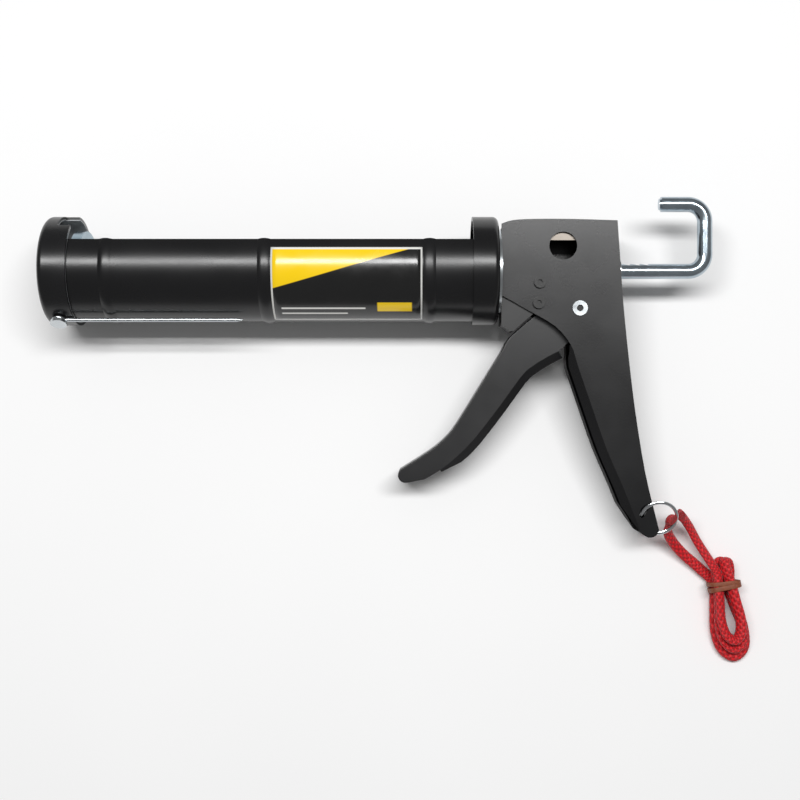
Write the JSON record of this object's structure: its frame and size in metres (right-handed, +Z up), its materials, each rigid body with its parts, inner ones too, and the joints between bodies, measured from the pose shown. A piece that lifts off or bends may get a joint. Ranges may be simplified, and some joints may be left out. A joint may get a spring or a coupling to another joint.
{
  "type": "caulking gun",
  "caption": "Half-cradle caulking gun with a turning barrel, toothed push rod with pulling hook, sprung trigger, spout cutter, folding seal pin and a red wrist cord on a split ring.",
  "frame": {"origin": "centre of the tool's box, cord left out, on the surface that it lies on", "axes": "+X along the barrel from its front cap to the hook, +Y across the surface from the handle's tip towards the barrel, +Z up from the surface; the tool lies on its side, so its own middle plane leans 7 degrees from the surface"},
  "size_m": [0.3716, 0.2455, 0.0572],
  "materials": {
    "black_paint": "satin powder coat",
    "cast_block": "satin painted casting",
    "black_oxide": "black oxide",
    "zinc": "bright zinc plate",
    "rod_zinc": "bright zinc plate",
    "plunger_zinc": "blue passivated zinc plate",
    "ring_nickel": "polished nickel",
    "spring_steel": "drawn wire",
    "tool_steel": "ground steel",
    "red_cord": "braided nylon",
    "band_rubber": "moulded rubber",
    "label_vinyl": "printed vinyl"
  },
  "bodies": {
    "frame": {"frame_shell": "black_paint", "neck_block": "cast_block", "clamp_screws": "black_oxide", "clamp_nuts": "black_oxide", "trigger_pin": "zinc", "pin_washer": "zinc", "cutter_blade": "tool_steel", "blade_rivets": "black_oxide", "rear_guide": "zinc", "swivel_bush": "zinc", "swivel_washer": "zinc", "return_spring": "spring_steel", "lanyard_cord": "red_cord", "lanyard_return": "red_cord", "lanyard_hank": "red_cord", "hank_band": "band_rubber"},
    "barrel": {"cradle": "black_paint", "rear_collar": "black_paint", "front_cap": "black_paint", "cap_plate": "black_paint", "pin_rivet": "zinc"},
    "seal_pin": {"seal_pin": "zinc"},
    "plunger": {"plunger_disc": "plunger_zinc", "plunger_washer": "zinc"},
    "rod": {"push_rod": "rod_zinc", "rod_nut": "zinc"},
    "trigger": {"trigger": "black_paint", "pawl_pin": "zinc", "pawl_spring": "spring_steel"},
    "pawl": {"drive_pawl": "tool_steel"},
    "ring": {"split_ring": "ring_nickel"}
  },
  "joints": [
    {"name": "barrel_swivel", "type": "hinge", "parent": "frame", "child": "barrel", "pos_m": [0.0625, 0.05085, 0.02862], "axis": [1, 0, 0], "continuous": true},
    {"name": "seal_pin_swing", "type": "hinge", "parent": "barrel", "child": "seal_pin", "pos_m": [-0.167, 0.02302, 0.03934], "axis": [0, -0.9331, 0.3597], "range_deg": [-180, 180]},
    {"name": "plunger_slide", "type": "slide", "parent": "frame", "child": "plunger", "axis": [1, 0, 0], "range_m": [-0.009, 0.205]},
    {"name": "rod_turn", "type": "hinge", "parent": "plunger", "child": "rod", "pos_m": [0.0625, 0.05085, 0.02862], "axis": [1, 0, 0], "range_deg": [0, 180]},
    {"name": "trigger_squeeze", "type": "hinge", "parent": "frame", "child": "trigger", "pos_m": [0.1032, 0.03068, 0.02635], "axis": [0, -0.1118, 0.9937], "range_deg": [0, 26], "stiffness_Nm_per_rad": 0.9, "springref_deg": -14.32},
    {"name": "pawl_swing", "type": "hinge", "parent": "trigger", "child": "pawl", "pos_m": [0.1005, 0.03992, 0.02739], "axis": [0, -0.1118, 0.9937], "range_deg": [-48, 0]},
    {"name": "ring_turn", "type": "hinge", "parent": "frame", "child": "ring", "pos_m": [0.1445, -0.07907, 0.02507], "axis": [0, -0.5508, 0.8346], "continuous": true}
  ],
  "couplings": [
    {"joint": "pawl_swing", "follows": "trigger_squeeze", "ratio": -1.6}
  ]
}
